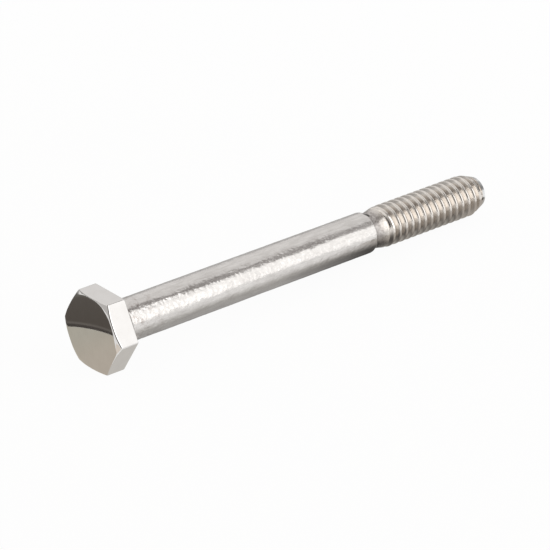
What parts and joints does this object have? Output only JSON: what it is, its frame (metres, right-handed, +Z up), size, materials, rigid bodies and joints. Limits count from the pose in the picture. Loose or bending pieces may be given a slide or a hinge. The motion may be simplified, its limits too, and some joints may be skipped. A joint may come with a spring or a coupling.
{
  "type": "hex bolt",
  "caption": "Chrome-plated steel hex head bolt, partly threaded, with a plain round shank, a washer face under the head and a chamfered point.",
  "frame": {"origin": "centre of the bearing plane under the head, on the bolt's axis", "axes": "+X along the bolt's axis from the head to the point; +Z up, square to one pair of wrench flats; +Y completes a right-handed frame and points at a corner of the hexagon"},
  "size_m": [0.0737, 0.0128, 0.011],
  "materials": {
    "head_chrome": "mirror-polished chrome plate over buffed steel",
    "shank_plate": "satin chrome plate over drawn steel, with fine lengthwise streaks and small pits",
    "thread_plate": "soft warm satin plate over a rolled thread"
  },
  "bodies": {
    "root": {"hex_head": "head_chrome", "washer_face": "head_chrome", "shank": "shank_plate", "thread_runout": "thread_plate", "thread": "thread_plate", "point": "thread_plate"}
  },
  "joints": []
}
